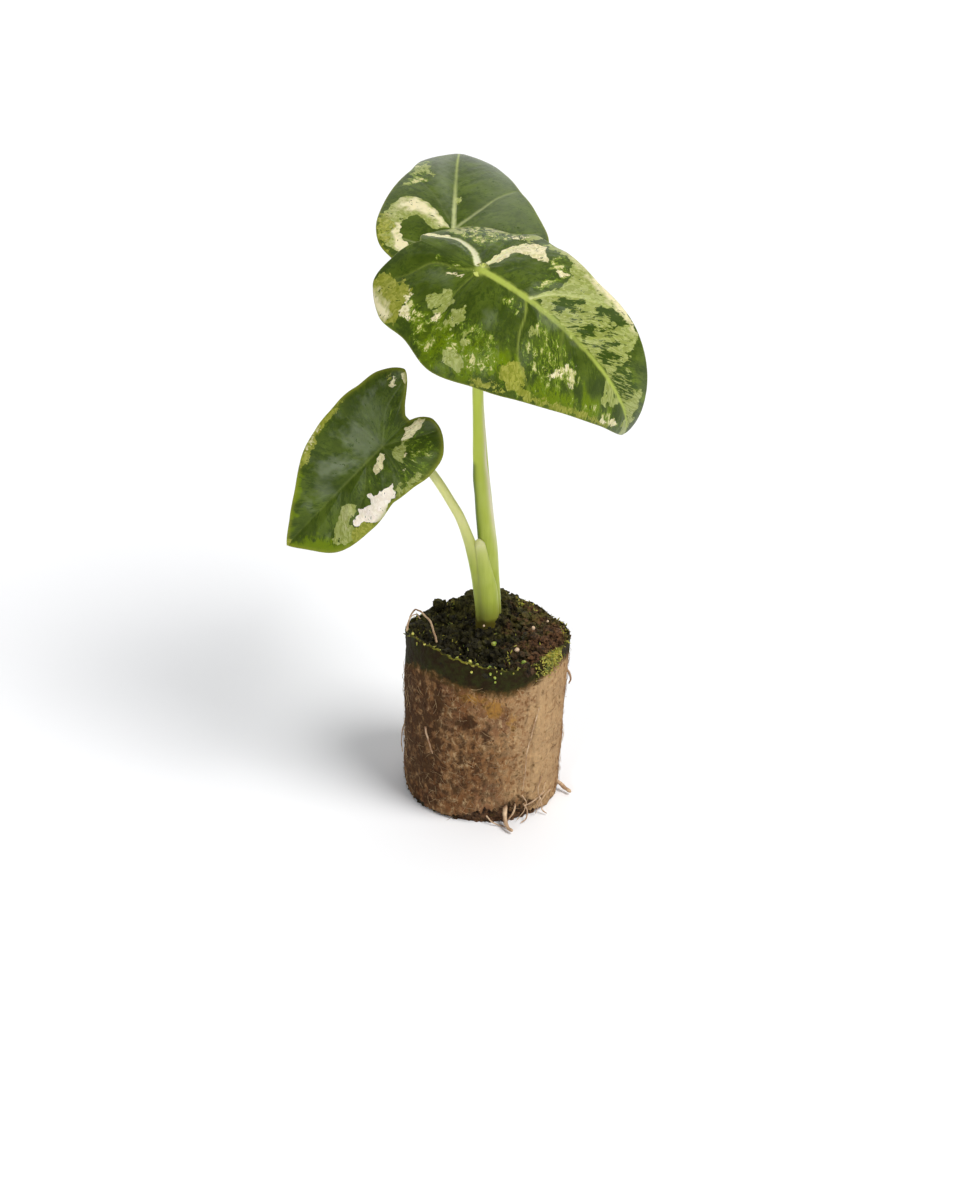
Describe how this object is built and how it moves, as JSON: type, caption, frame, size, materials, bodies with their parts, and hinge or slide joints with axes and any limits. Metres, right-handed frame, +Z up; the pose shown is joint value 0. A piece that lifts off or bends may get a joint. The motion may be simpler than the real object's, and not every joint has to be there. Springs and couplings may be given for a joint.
{
  "type": "variegated alocasia frydek starter plant",
  "caption": "Young variegated alocasia with arrow-shaped leaves on tall stalks, rooted in a small paper-wrapped peat plug.",
  "frame": {"origin": "middle of the plug's foot, on the surface that it stands on", "axes": "+Z up the plant, -Y towards the front leaf's lower half, +X to the right as seen from the front"},
  "size_m": [0.0714, 0.0822, 0.1239],
  "materials": {
    "sleeve_paper": "damp matt fleece paper, algae-dark at the rim",
    "peat": "moist crumbly peat",
    "root": "matt",
    "stalk": "smooth satin, slightly see-through",
    "stalk_pale": "smooth satin, slightly see-through",
    "leaf": "satin, marbled cream, sage and lime",
    "leaf_dark": "satin, marbled cream, sage and lime"
  },
  "bodies": {
    "root": {"paper_sleeve": "sleeve_paper", "soil_plug": "peat", "corm_and_roots": "root", "petiole_front": "stalk", "petiole_back": "stalk", "petiole_left": "stalk_pale", "blade_front": "leaf", "blade_back": "leaf_dark", "blade_left": "leaf"}
  },
  "joints": []
}
